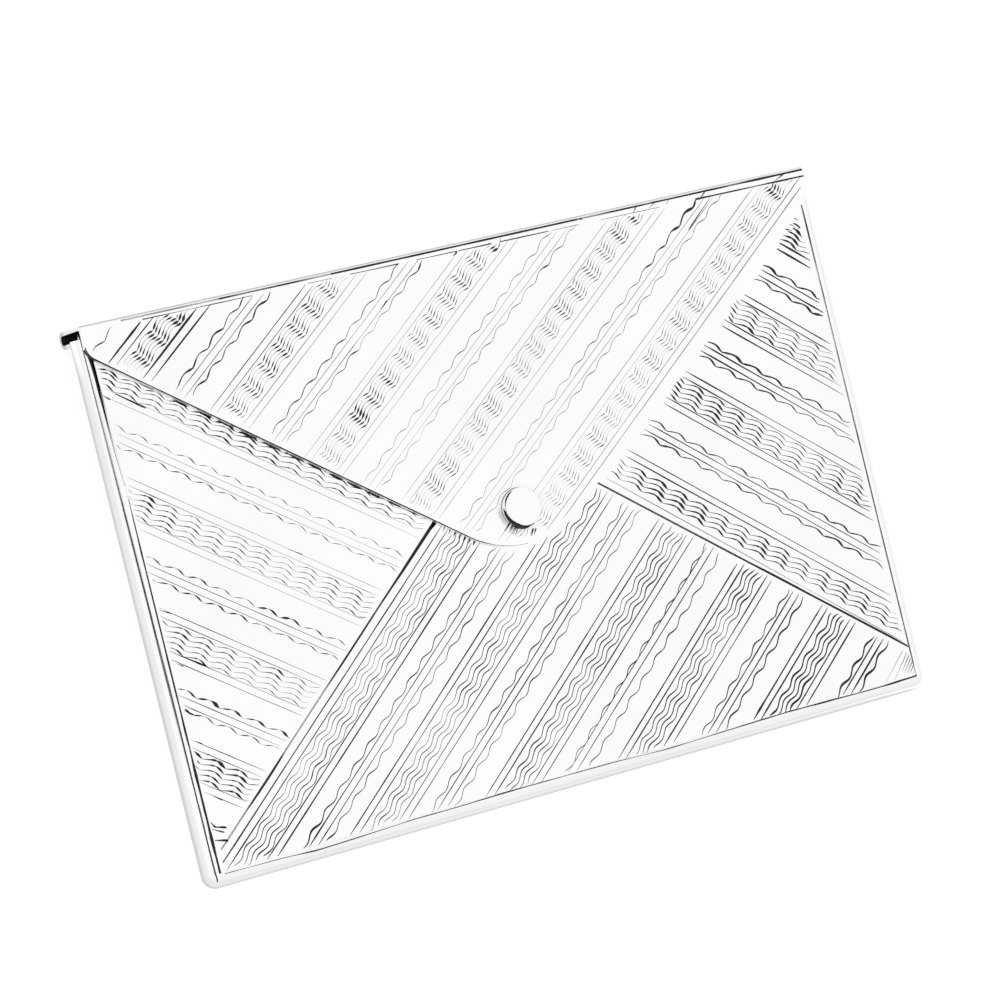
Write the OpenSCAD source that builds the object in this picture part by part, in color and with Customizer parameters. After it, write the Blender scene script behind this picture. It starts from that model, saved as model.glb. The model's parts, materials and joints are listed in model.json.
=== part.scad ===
// Envelope-shaped card case made from thin silver sheet.
// The case lies on its back: X runs along its width, Y towards the hinge and Z out of its front.
// The origin is under the middle of the case, level with the back of the hinge.

/* [Case] */
// Overall width of the case
case_w = 95; // [80:0.5:120]
// Overall height of the closed case, from the bottom edge to the spine
case_h = 63; // [50:0.5:90]
// Thickness of the body without hinge and flap
body_t = 3; // [2.4:0.1:6]
// Thickness of the sheet that the body is made from
sheet_t = 0.5; // [0.3:0.05:0.7]

/* [Band] */
// Width of the gap where the left seam has opened at the top
seam_open = 0.5; // [0.1:0.05:0.8]
// Length over which that seam opens
seam_open_h = 16; // [4:1:25]

/* [Front panel] */
// Width of the bevel along the seam round the front panel
seam_w = 0.2; // [0.05:0.05:0.4]
// Depth of that bevel
seam_depth = 0.2; // [0.05:0.05:0.25]
// Width of the two cut fold lines
fold_w = 0.3; // [0.1:0.05:0.5]
// Depth of the fold lines
fold_depth = 0.12; // [0.05:0.01:0.2]
// Height above the bottom seam at which the left fold line starts
fold_left_up = 1.8; // [0:0.1:6]
// Slope of the left fold line, in degrees
fold_left_angle = 40; // [30:0.1:45]
// Height above the bottom seam at which the right fold line starts
fold_right_up = 3.6; // [0:0.1:6]
// Slope of the right fold line, in degrees
fold_right_angle = 38.2; // [30:0.1:45]

/* [Lid] */
// Thickness of the lid's sheet
lid_t = 0.45; // [0.3:0.05:0.6]
// Distance of the lid's ends from the sides of the body
lid_inset = 0.6; // [0.2:0.1:2]
// Gap between flap and front panel
flap_gap = 0.12; // [0.05:0.01:0.3]
// Gap between the spine and the top of the front panel
spine_gap = 0.95; // [0.6:0.05:1.5]
// Outer radius of the bend between spine and flap
bend_r = 0.55; // [0.5:0.05:0.9]
// Length of the flap from the spine to its tip
flap_len = 35; // [25:0.5:40]
// Height of the flap's short upright sides, from the spine
flap_drop = 3.4; // [2.5:0.1:8]
// Radius of the flap's tip
tip_r = 12; // [5:0.5:20]
// Radius of the corners at the flap's sides
corner_r = 2; // [0.5:0.1:3]

/* [Hinge] */
// Distance of the hinge axis behind the back panel
hinge_offset = 1.9; // [1.6:0.1:3]
// Diameter of the hinge pin
pin_d = 0.6; // [0.5:0.05:0.8]
// Radial clearance of the pin in its tubes
pin_clearance = 0.03; // [0.02:0.01:0.08]
// Wall of the hinge tubes
tube_wall = 0.17; // [0.12:0.01:0.25]
// Solder gap between a tube and its seat
solder_gap = 0.02; // [0.01:0.01:0.05]
// Distance from the lid's ends to the ends of pin and outer tubes
pin_recess = 3; // [1:0.5:10]
// Gap between neighbouring knuckles
knuckle_gap = 0.15; // [0.1:0.01:0.3]
// Clearance of the swinging curl from tabs and back panel
swing_clearance = 0.15; // [0.1:0.01:0.25]
// Depth of the bevel on the back panel's upper edge, where the curl swings past
relief_depth = 0.2; // [0.1:0.05:0.3]

/* [Button] */
// Diameter of the button
button_d = 4.6; // [3:0.1:7]
// Height of the button above the flap
button_h = 0.8; // [0.5:0.05:1.5]
// Rounding of the button's upper edge
button_round = 0.15; // [0.05:0.05:0.3]
// Distance from the flap's tip to the middle of the button
button_up = 4.2; // [3.5:0.1:8]
// Diameter of the riveted shank under the button
shank_d = 1.2; // [0.8:0.1:1.6]
// Diameter of the washer under the flap
washer_d = 2.2; // [1.8:0.1:3]
// Thickness of the washer
washer_t = 0.3; // [0.2:0.05:0.35]
// Clearance of the washer in its hole in the front panel
catch_clearance = 0.2; // [0.1:0.05:0.5]

/* [Hidden] */
$fn = 96;
silver = [0.93, 0.93, 0.91];
tube_silver = [0.80, 0.80, 0.78];

// Hinge section
tube_d = pin_d + 2 * (pin_clearance + tube_wall);
seat_r = tube_d / 2 + solder_gap;
curl_r = seat_r + lid_t;
swing_r = hinge_offset - swing_clearance;

// Heights from the back of the hinge to the flap
axis_z = curl_r;
back_z = axis_z + hinge_offset;
front_z = back_z + body_t;
flap_z = front_z + flap_gap;
flap_top_z = flap_z + lid_t;

// Places along the height of the case
top_y = case_h / 2;
axis_y = top_y - curl_r;
panel_top_y = top_y - lid_t - spine_gap;
back_top_y = axis_y + sheet_t / 2;
relief_y = axis_y - curl_r - swing_clearance;
flap_root_y = top_y - bend_r;
side_y = top_y - flap_drop;
tip_y = top_y - flap_len;
button_y = tip_y + button_up;

// Body
edge_r = body_t / 2;
panel_w = case_w - 2 * edge_r;
panel_y = edge_r - top_y;
panel_h = panel_top_y - panel_y;

// Flap outline: the straight edges run from the side corners to the round tip, tangent to it
lid_w = case_w - 2 * lid_inset;
tip_rise = side_y - tip_y - tip_r;
flap_angle = atan2(tip_rise, lid_w / 2) + asin(tip_r / norm([lid_w / 2, tip_rise]));
corner_cut = corner_r * tan((90 - flap_angle) / 2);

// Fold lines meet at a point under the flap
fold_start_dy = fold_right_up - fold_left_up;
fold_slopes = [tan(fold_left_angle), tan(fold_right_angle)];
fold_apex_x = (fold_start_dy + (fold_slopes[1] - fold_slopes[0]) * panel_w / 2)
    / (fold_slopes[0] + fold_slopes[1]);

// Knuckles are counted from the left: the lid has 0, 2 and 4 and the body has 1 and 3
knuckle_count = 5;
pin_len = lid_w - 2 * pin_recess;
knuckle_pitch = pin_len / knuckle_count;
tube_len = knuckle_pitch - knuckle_gap;
body_knuckles = [1, 3];

// Overshoot that keeps cuts clear of the faces they leave
cut = 1;

function knuckle_x(i) = (i - (knuckle_count - 1) / 2) * knuckle_pitch;

// Extrudes a Y-Z section along X, centred
module along_x(length) {
    translate([-length / 2, 0, 0])
        rotate([90, 0, 90])
            linear_extrude(length)
                children();
}

module half_ring() {
    difference() {
        circle(edge_r);
        circle(edge_r - sheet_t);
        translate([0, -edge_r])
            square(2 * edge_r);
    }
}

module band_side() {
    translate([-panel_w / 2, panel_top_y, back_z + edge_r])
        rotate([90, 0, 0])
            linear_extrude(panel_h)
                half_ring();
}

module band_corner() {
    translate([-panel_w / 2, panel_y, back_z + edge_r])
        intersection() {
            difference() {
                sphere(edge_r);
                sphere(edge_r - sheet_t);
            }
            translate([-edge_r, -edge_r, -edge_r])
                cube([edge_r, edge_r, 2 * edge_r]);
        }
}

// Wedge that draws the band's left lip back from the panel at the top
module seam_wedge() {
    translate([-panel_w / 2, panel_top_y, back_z + edge_r])
        linear_extrude(edge_r + cut)
            polygon([[0, -seam_open_h], [cut, -seam_open_h], [cut, cut], [-seam_open, cut], [-seam_open, 0]]);
}

// Half-round band round the left, bottom and right of the body
module edge_band() {
    color(silver)
        difference() {
            union() {
                for (side = [0, 1])
                    mirror([side, 0, 0]) {
                        band_side();
                        band_corner();
                    }
                along_x(panel_w)
                    translate([panel_y, back_z + edge_r])
                        half_ring();
            }
            seam_wedge();
        }
}

// Section of the seam's bevel, with the panel's upper edge at the origin and the panel on the left
module bevel_section() {
    polygon([[-seam_w, 0], [0, -seam_depth], [cut, -seam_depth], [cut, cut], [-seam_w, cut]]);
}

module seam_bevels() {
    for (side = [0, 1])
        mirror([side, 0, 0])
            translate([panel_w / 2, panel_top_y + cut, front_z])
                rotate([90, 0, 0])
                    linear_extrude(panel_h + 2 * cut)
                        bevel_section();
    along_x(panel_w + 2 * cut)
        translate([panel_y, front_z])
            mirror([1, 0])
                bevel_section();
}

// V-shaped cut that starts on the left seam and runs up to the right
module fold_cut(up, angle, run) {
    length = run / cos(angle);
    translate([-panel_w / 2, panel_y + up, front_z])
        rotate([0, 0, angle])
            rotate([90, 0, 90])
                linear_extrude(length)
                    polygon([[-fold_w, fold_depth], [fold_w, fold_depth], [0, -fold_depth]]);
}

// Front sheet, let in flush between the edges of the band
module front_panel() {
    color(silver)
        difference() {
            translate([-panel_w / 2, panel_y, front_z - sheet_t])
                cube([panel_w, panel_h, sheet_t]);
            seam_bevels();
            fold_cut(fold_left_up, fold_left_angle, panel_w / 2 + fold_apex_x);
            mirror([1, 0, 0])
                fold_cut(fold_right_up, fold_right_angle, panel_w / 2 - fold_apex_x);
            translate([0, button_y, front_z - sheet_t - cut])
                cylinder(h = sheet_t + 2 * cut, d = washer_d + 2 * catch_clearance);
        }
}

// Section of a hinge tab: the panel's upper edge is bent back and ends on its tube
module tab_section() {
    difference() {
        union() {
            translate([axis_y - sheet_t / 2, axis_z])
                square([sheet_t, hinge_offset]);
            intersection() {
                translate([axis_y - sheet_t / 2, back_z])
                    circle(sheet_t);
                translate([axis_y - sheet_t / 2, back_z])
                    square(sheet_t);
            }
        }
        translate([axis_y, axis_z])
            circle(seat_r);
    }
}

// Section of the bevel on the outside of the back panel's upper edge
module relief_section() {
    slope = relief_depth / (back_top_y - relief_y);
    polygon([
        [relief_y, back_z],
        [relief_y, back_z - cut],
        [back_top_y + cut, back_z - cut],
        [back_top_y + cut, back_z + relief_depth + cut * slope]
    ]);
}

// Back sheet with its two hinge tabs
module back_panel() {
    color(silver)
        union() {
            difference() {
                translate([-panel_w / 2, panel_y, back_z])
                    cube([panel_w, back_top_y - panel_y, sheet_t]);
                for (i = body_knuckles)
                    translate([knuckle_x(i) - tube_len / 2, back_top_y - sheet_t, back_z - cut])
                        cube([tube_len, sheet_t + cut, sheet_t + 2 * cut]);
                along_x(panel_w + 2 * cut)
                    relief_section();
            }
            for (i = body_knuckles)
                translate([knuckle_x(i), 0, 0])
                    along_x(tube_len)
                        tab_section();
        }
}

// Half of the flap's outline, right of the middle
module flap_half() {
    half = lid_w / 2;
    tangent_x = tip_r * sin(flap_angle);
    tangent_y = tip_y + tip_r * (1 - cos(flap_angle));
    polygon([
        [0, flap_root_y],
        [half, flap_root_y],
        [half, side_y + corner_cut],
        [half - corner_cut * cos(flap_angle), side_y - corner_cut * sin(flap_angle)],
        [tangent_x, tangent_y],
        [0, tangent_y]
    ]);
    translate([half - corner_r, side_y + corner_cut])
        circle(corner_r);
}

module flap_outline() {
    intersection() {
        union() {
            flap_half();
            mirror([1, 0])
                flap_half();
            translate([0, tip_y + tip_r])
                circle(tip_r);
        }
        translate([-lid_w / 2, tip_y - cut])
            square([lid_w, flap_root_y - tip_y + cut]);
    }
}

// Section of the lid's bent sheet: bend at the front, spine, curl at the back and its return
module channel_section() {
    translate([flap_root_y, flap_top_z - bend_r])
        intersection() {
            difference() {
                circle(bend_r);
                circle(bend_r - lid_t);
            }
            square(bend_r);
        }
    translate([top_y - lid_t, axis_z])
        square([lid_t, flap_top_z - bend_r - axis_z]);
    translate([axis_y, axis_z])
        difference() {
            circle(curl_r);
            circle(seat_r);
            translate([-curl_r, 0])
                square(2 * curl_r);
        }
    intersection() {
        translate([axis_y - curl_r, axis_z])
            square([lid_t, hinge_offset]);
        translate([axis_y, axis_z])
            circle(swing_r);
    }
}

// Openings in the curl, where the tabs of the back panel reach their tubes
module hinge_windows() {
    for (i = body_knuckles)
        translate([knuckle_x(i) - (knuckle_pitch + knuckle_gap) / 2, axis_y - curl_r - cut, -cut])
            cube([
                knuckle_pitch + knuckle_gap,
                curl_r + cut + sheet_t / 2 + swing_clearance,
                back_z + cut
            ]);
}

// Lid: flap, spine and hinge curl in one bent sheet
module lid() {
    color(silver)
        difference() {
            union() {
                along_x(lid_w)
                    channel_section();
                translate([0, 0, flap_z])
                    linear_extrude(lid_t)
                        flap_outline();
            }
            hinge_windows();
            translate([0, button_y, flap_z - cut])
                cylinder(h = lid_t + 2 * cut, d = shank_d + 2 * solder_gap);
        }
}

module hinge_tube(i) {
    color(tube_silver)
        translate([knuckle_x(i) - tube_len / 2, axis_y, axis_z])
            rotate([0, 90, 0])
                difference() {
                    cylinder(h = tube_len, d = tube_d);
                    translate([0, 0, -cut])
                        cylinder(h = tube_len + 2 * cut, d = pin_d + 2 * pin_clearance);
                }
}

module hinge_pin() {
    color(tube_silver)
        translate([-pin_len / 2, axis_y, axis_z])
            rotate([0, 90, 0])
                cylinder(h = pin_len, d = pin_d);
}

// Flat knob on the flap, with its shank through flap and washer
module button() {
    color(silver)
        translate([0, button_y, 0]) {
            translate([0, 0, flap_top_z])
                rotate_extrude() {
                    square([button_d / 2, button_h - button_round]);
                    square([button_d / 2 - button_round, button_h]);
                    intersection() {
                        translate([button_d / 2 - button_round, button_h - button_round])
                            circle(button_round);
                        square([button_d, button_h]);
                    }
                }
            translate([0, 0, flap_z - washer_t])
                cylinder(h = lid_t + washer_t + button_h / 2, d = shank_d);
        }
}

module rivet_washer() {
    color(tube_silver)
        translate([0, button_y, flap_z - washer_t])
            difference() {
                cylinder(h = washer_t, d = washer_d);
                translate([0, 0, -cut])
                    cylinder(h = washer_t + 2 * cut, d = shank_d + 2 * solder_gap);
            }
}

edge_band();
front_panel();
back_panel();
lid();
hinge_tube(0);  // lid_tube_left
hinge_tube(2);  // lid_tube_middle
hinge_tube(4);  // lid_tube_right
hinge_tube(1);  // body_tube_left
hinge_tube(3);  // body_tube_right
hinge_pin();
button();
rivet_washer();
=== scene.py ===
"""Looks of the silver card case: engraving, dark seams, finishes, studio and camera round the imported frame.

The engraving is laid out in front millimetres: x to the right of the left seam, y above the bottom seam.
"""

import json
import math
import random
from dataclasses import dataclass
from typing import Callable

import bpy
from mathutils import Matrix, Vector, noise


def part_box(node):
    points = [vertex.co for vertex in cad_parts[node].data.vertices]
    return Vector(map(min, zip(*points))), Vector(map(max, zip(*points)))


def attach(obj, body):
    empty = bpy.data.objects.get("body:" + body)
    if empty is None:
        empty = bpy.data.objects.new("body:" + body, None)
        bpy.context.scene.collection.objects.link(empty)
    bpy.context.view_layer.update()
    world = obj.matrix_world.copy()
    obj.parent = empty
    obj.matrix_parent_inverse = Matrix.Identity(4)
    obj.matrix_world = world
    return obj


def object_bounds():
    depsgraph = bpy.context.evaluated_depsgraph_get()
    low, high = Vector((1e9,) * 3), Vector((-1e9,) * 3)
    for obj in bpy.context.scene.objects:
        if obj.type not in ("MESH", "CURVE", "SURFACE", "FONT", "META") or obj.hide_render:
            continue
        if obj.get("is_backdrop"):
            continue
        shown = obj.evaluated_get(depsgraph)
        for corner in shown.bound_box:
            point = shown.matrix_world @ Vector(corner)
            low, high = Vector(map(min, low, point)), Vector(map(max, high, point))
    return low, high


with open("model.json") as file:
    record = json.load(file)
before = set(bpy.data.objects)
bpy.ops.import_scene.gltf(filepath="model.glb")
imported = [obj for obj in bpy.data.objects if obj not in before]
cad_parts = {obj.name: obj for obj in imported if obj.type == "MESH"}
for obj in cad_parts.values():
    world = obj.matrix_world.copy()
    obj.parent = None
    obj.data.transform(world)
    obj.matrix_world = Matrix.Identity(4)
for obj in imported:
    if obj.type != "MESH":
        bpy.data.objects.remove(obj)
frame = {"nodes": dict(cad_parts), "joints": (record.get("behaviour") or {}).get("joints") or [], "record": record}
CAD_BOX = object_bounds()
MM = 0.001
SEED = 7
rng = random.Random(SEED)

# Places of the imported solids, in millimetres
PANEL_LO, PANEL_HI = (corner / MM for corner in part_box("front_panel"))
BAND_LO, BAND_HI = (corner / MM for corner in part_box("edge_band"))
LID_LO, LID_HI = (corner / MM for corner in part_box("lid"))
BUTTON_LO, BUTTON_HI = (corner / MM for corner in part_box("button"))
BUTTON_X = (BUTTON_LO.x + BUTTON_HI.x) / 2 - PANEL_LO.x
BUTTON_Y = (BUTTON_LO.y + BUTTON_HI.y) / 2 - PANEL_LO.y
BUTTON_R = (BUTTON_HI.x - BUTTON_LO.x) / 2
HINGE_AXIS = Vector(frame["joints"][0]["pos_m"]) / MM
PANEL_W = PANEL_HI.x - PANEL_LO.x
PANEL_H = PANEL_HI.y - PANEL_LO.y
FRONT_Z = PANEL_HI.z
FLAP_Z = LID_HI.z
EDGE_R = (BAND_HI.z - BAND_LO.z) / 2

# Sizes of the solids that their boxes don't give
BUTTON_ROUND = 0.15
SHEET_T = 0.5
LID_T = 0.45
CURL_SEAT_R = 0.52

# Flap outline, in front millimetres
TIP_R = 12.0
FLAP_DROP = 3.4
CORNER_R = 2.0
BEND_R = 0.55
FLAP_HALF = (LID_HI.x - LID_LO.x) / 2
TIP_Y = LID_LO.y - PANEL_LO.y
SIDE_Y = LID_HI.y - FLAP_DROP - PANEL_LO.y
BEND_Y = LID_HI.y - BEND_R - PANEL_LO.y
SIDE_X = LID_LO.x - PANEL_LO.x
TIP_RISE = SIDE_Y - TIP_Y - TIP_R
FLAP_ANGLE = math.atan2(TIP_RISE, FLAP_HALF) + math.asin(TIP_R / math.hypot(FLAP_HALF, TIP_RISE))

# Fold lines cut in the front panel: height on the side seam, slope and width
FOLD_LEFT_UP = 1.8
FOLD_RIGHT_UP = 3.6
FOLD_LEFT_SLOPE = math.tan(math.radians(40))
FOLD_RIGHT_SLOPE = math.tan(math.radians(38.2))
FOLD_WIDTH = 0.3

# Engraved lines: pitch of the waves, steps, section of a cut, and where lines are looked for
PITCH = 2.95
WAVE_STEP = PITCH / 16
LINE_STEP = 1.5
CUT_PROUD = 0.005
CUT_DEPTH = 0.02
RUN_STEP = 0.1
RUN_FROM = -600
RUN_TO = 1300

# The bottom's lines fan out: they keep its angle at offset -FAN_START and turn every FAN_STEP
FAN_START = 26.2
FAN_STEP = -11.1

# Unsteady hand: ends drawn back and thinner, weights and waves that slip, and the least share of a width
END_TRIM = 0.5
SHORTEST_RUN = 3 * END_TRIM
TAPER = 0.6
END_SHARE = 0.4
WEIGHT_SLIP = (0.85, 1.15)
PHASE_SLIP = 0.08
DRIFTS = 100
LEAST_SHARE = 0.3

# Slow changes: gain, length in millimetres and layer of the noise
WANDER = (0.03, 6, 0)
SWAY = (0.12, 5, 1)
SWING = (0.2, 7, 2)
DIRT_AND_SHADE_CHANGE = (0.8, 2.5, 4)
BORDER_CHANGE = (0.7, 4, 9)
PATCHES = ((0.45, 9, 3.7), (0.35, 2.5, 8.1))

# Change of weight from one wave to the next: gain, rate and layer of the noise
BEAT_GAIN = 0.4
BEAT_RATE = 0.7
BEAT_LAYER = 5

# Width over a smooth wave, a light wave, a freehand cut and a blot: share of the length, share of the width
SMOOTH_PROFILE = ((0, 0.85), (0.3, 0.85), (0.55, 1.15), (0.75, 1.15), (1, 0.85))
LIGHT_PROFILE = ((0, 0.5), (0.2, 0.8), (0.45, 0.6), (0.6, 0.7), (0.78, 1.1), (0.9, 0.9), (1, 0.5))
STROKE_SHAPE = ((0.0, 0.3), (0.35, 0.6), (0.7, 1.0), (0.9, 0.9), (1.0, 0.4))
BLOT_SHAPE = ((0.0, 0.1), (0.3, 0.7), (0.55, 1.0), (0.8, 0.7), (1.0, 0.1))

# Border along the flap's bend: how far below it on the left, and its tilt
BORDER_DROP = 0.15
BORDER_TILT = 0.4

# Room between the lines of a side and what bounds them; under the flap they run on
FLAP_PAST_LEFT = 0.3
FLAP_PAST_RIGHT = 0.4
FLAP_RIM_ROOM = 0.8
LEFT_SEAM_ROOM = 0.15
LEFT_FOLD_ROOM = 0.5
LEFT_UNDER_FLAP = 0.5
BOTTOM_SEAM_ROOM = 0.1
BOTTOM_FOLD_ROOM = 0.4
BOTTOM_UNDER_FLAP = ((42, 0.3), (43, -0.1), (50, -0.1), (54, -0.6))
RIGHT_SEAM_ROOM = 0.6
RIGHT_FOLD_ROOM = 0.2
RIGHT_FLAP_ROOM = 0.7


def between(points, where):
    """Value at where on the line through points, a list of (place, value)."""
    for (a, low), (b, high) in zip(points, points[1:]):
        if a <= where <= b:
            return low + (high - low) * (where - a) / (b - a)
    return points[0][1] if where < points[0][0] else points[-1][1]


def spread(start, end, count):
    """Places from start to end, with count equal steps between them."""
    return [start + (end - start) * i / count for i in range(count + 1)]


def drifting(change, along, drift):
    """Slow change along one line; the drift tells the lines apart."""
    gain, length, layer = change
    return gain * noise.noise(Vector((along / length, drift, layer)))


def front(x, y):
    """Height of the front panel, and of the half-round band outside it."""
    reach = math.hypot(max(-x, x - PANEL_W, 0.0), max(-y, 0.0))
    return FRONT_Z - EDGE_R + math.sqrt(EDGE_R ** 2 - reach ** 2)


def flap(_x, y):
    """Height of the flap, and of the bend above it."""
    reach = max(y - BEND_Y, 0.0)
    return FLAP_Z - BEND_R + math.sqrt(BEND_R ** 2 - reach ** 2)


def flap_edge(x):
    """Lower edge of the flap at x."""
    dx = abs(x - PANEL_W / 2)
    tangent = TIP_R * math.sin(FLAP_ANGLE)
    if dx < tangent:
        return TIP_Y + TIP_R - math.sqrt(TIP_R ** 2 - dx ** 2)
    return TIP_Y + TIP_R * (1 - math.cos(FLAP_ANGLE)) + (dx - tangent) * math.tan(FLAP_ANGLE)


def fold_left(x):
    return FOLD_LEFT_UP + x * FOLD_LEFT_SLOPE


def fold_right(x):
    return FOLD_RIGHT_UP + (PANEL_W - x) * FOLD_RIGHT_SLOPE


def border(x):
    """Inner line of the flap's border, which the bands run up to."""
    return BEND_Y - BORDER_DROP - BORDER_TILT * x / PANEL_W


def in_flap(x, y):
    across = -FLAP_PAST_LEFT < x < PANEL_W + FLAP_PAST_RIGHT
    return across and flap_edge(x) + FLAP_RIM_ROOM < y < border(x)


def in_left(x, y):
    return x > LEFT_SEAM_ROOM and fold_left(x) + LEFT_FOLD_ROOM < y < flap_edge(x) + LEFT_UNDER_FLAP


def in_bottom(x, y):
    below_folds = min(fold_left(x), fold_right(x)) - BOTTOM_FOLD_ROOM
    below_flap = flap_edge(x) + between(BOTTOM_UNDER_FLAP, x)
    return BOTTOM_SEAM_ROOM < y < min(below_folds, below_flap)


def in_right(x, y):
    above_fold = fold_right(x) + RIGHT_FOLD_ROOM
    return x < PANEL_W - RIGHT_SEAM_ROOM and above_fold < y < flap_edge(x) - RIGHT_FLAP_ROOM


# Straight lines of a cell: offset from its start, and weight
STRAIGHTS = ((0, 1), (0.8, 1), (3.97, 1), (4.75, 1))
UPPER_HEAVY = ((0, 1), (0.8, 1), (3.97, 1.25), (4.75, 1.25))


@dataclass
class Cell:
    """A band of waves between two pairs of straight lines, and the light band above it.

    The start is the offset of the lowest line, first the waves' distance from it, and light the offset of
    the lower light wave, or None. The weights are for straight lines, waves and the light band.
    The shift moves the waves along, the lift moves the light band's straight lines up.
    """

    start: float
    light: float | None
    weights: tuple
    first: float
    count: int
    straights: tuple = STRAIGHTS
    shift: float = 0.0
    light_lift: float = 0.0


@dataclass
class Facet:
    """One side of the envelope, and how its lines are cut.

    Its waves lie a step apart. The trough is where a wave is lowest, the rise the share of it that climbs,
    the arch how round its crest is, and the reach half its height. The profiles change a width over a wave,
    the lean over a line. Accents are cut heavier: x, y, reach and gain. The overrun draws lines out.
    """

    name: str
    body: str
    height: Callable
    inside: Callable
    angle: float
    step: float
    light_waves: tuple
    light_straights: tuple
    trough: float
    rise: float
    arch: float
    reach: float
    straight: float
    wave: float
    profile: tuple
    lean: tuple
    cells: tuple
    accents: tuple
    light_profile: tuple = LIGHT_PROFILE
    wave_accents: tuple = ()
    overrun: float = 0.0
    fan: float = 0.0


FLAP = Facet(
    name="engraving_flap", body="lid", height=flap, inside=in_flap,
    angle=36.9, step=0.41, light_waves=(0, 2), light_straights=(0.55, 1.35),
    trough=50.3, rise=0.53, arch=0.5, reach=0.2, straight=0.05, wave=0.1,
    profile=(
        (0, 0.25), (0.05, 0.6), (0.12, 1.25), (0.22, 1.25), (0.3, 0.5), (0.4, 0.28),
        (0.66, 0.28), (0.74, 0.6), (0.82, 1.55), (0.92, 1.55), (0.97, 0.6), (1, 0.25),
    ),
    lean=(0.9, 1.1),
    cells=(
        Cell(-8, -0.55, (1.15, 0.65, 0.9), 1.4, 6, ((0, 1.4), (0.8, 1.1), (3.97, 0.7), (4.75, 1.1))),
        Cell(3.95, 11.38, (0.85, 0.72, 0.7), 1.65, 6),
        Cell(15.9, 23.25, (0.9, 0.78, 1.1), 1.45, 6),
        Cell(27.7, 35.05, (1.3, 0.8, 1.5), 1.45, 6, ((0, 0.8), (0.8, 0.8), (3.97, 1.2), (4.75, 1.2))),
        Cell(39.65, None, (3.4, 1.25, 0), 1.5, 6, ((0, 1), (0.95, 1), (4.2, 0.6), (5, 1.5))),
        Cell(46.7, None, (0, 1.2, 0), 0, 1, shift=1.45),
    ),
    accents=(
        (8, 58.5, 3.5, 0.6), (29.6, 45.2, 1.4, 1.8), (37, 36, 3, 0.6), (51, 32, 5, -0.6),
        (88.4, 59.7, 0.7, 2.5), (66.8, 58, 1.5, 0.7), (69, 60, 0.8, 1.6), (10.9, 53.6, 1, 0.8),
        (40.8, 59.6, 0.7, 1), (50.8, 59.8, 0.7, 1.2), (48.4, 59.9, 0.5, 0.8), (56.7, 56.6, 0.6, 0.8),
        (30.4, 52.2, 0.6, 0.8), (33.6, 47.9, 0.6, 0.8),
    ),
    wave_accents=(
        (70, 54.3, 1.2, 1), (72.4, 56.3, 1.2, 1.6), (74.4, 57.7, 1, 2.4), (76.2, 59, 1, 2.7),
        (77.6, 59.9, 0.9, 2.6), (9, 53.5, 0.9, 1), (10.9, 54.6, 0.9, 1), (12.5, 52.9, 0.9, 0.8),
    ),
    overrun=0.45,
)
BOTTOM = Facet(
    name="engraving_bottom", body="body", height=front, inside=in_bottom,
    angle=40.2, fan=0.0025, step=0.58, light_waves=(0, 2.05), light_straights=(0.7, 1.5),
    trough=17.6, rise=0.5, arch=0, reach=0.19, straight=0.11, wave=0.11,
    profile=SMOOTH_PROFILE,
    light_profile=SMOOTH_PROFILE,
    lean=(1, 1),
    cells=(
        Cell(-4.55, None, (1.1, 0.7, 0), 1.2, 5, ((0, 1.2), (0.8, 1), (4.05, 0.8), (4.9, 1))),
        Cell(-2.77, None, (0, 0.6, 0), 0, 1),
        Cell(-15.06, -8.49, (1.05, 0.95, 0.9), 1.42, 4, UPPER_HEAVY),
        Cell(-26.15, -18.86, (1.1, 0.98, 1), 1.38, 4, UPPER_HEAVY),
        Cell(-37.31, -30.11, (1.35, 1.2, 1.1), 1.55, 4, UPPER_HEAVY, light_lift=0.38),
        Cell(-35.76, None, (0, 0.6, 0), 0, 1),
        Cell(-49.09, -41.84, (1.2, 1.4, 1.4), 1.37, 4, UPPER_HEAVY),
        Cell(-61.1, -53.9, (0, 0, 1.25), 1.4, 4),
    ),
    accents=(
        (80, 6, 10, 0.3), (38, 29, 1.2, 1.2), (9, 2, 3, 0.4), (12.5, 1.6, 1.6, 1),
        (4.5, 1.6, 2.5, 0.7), (70, 1.2, 1.2, 0.8), (84, 3.2, 2, 0.2),
    ),
    wave_accents=((82.3, 2.3, 1.4, 0.6), (84.4, 4.4, 1.4, 0.7), (86.4, 6, 1.2, 0.5)),
)
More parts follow.
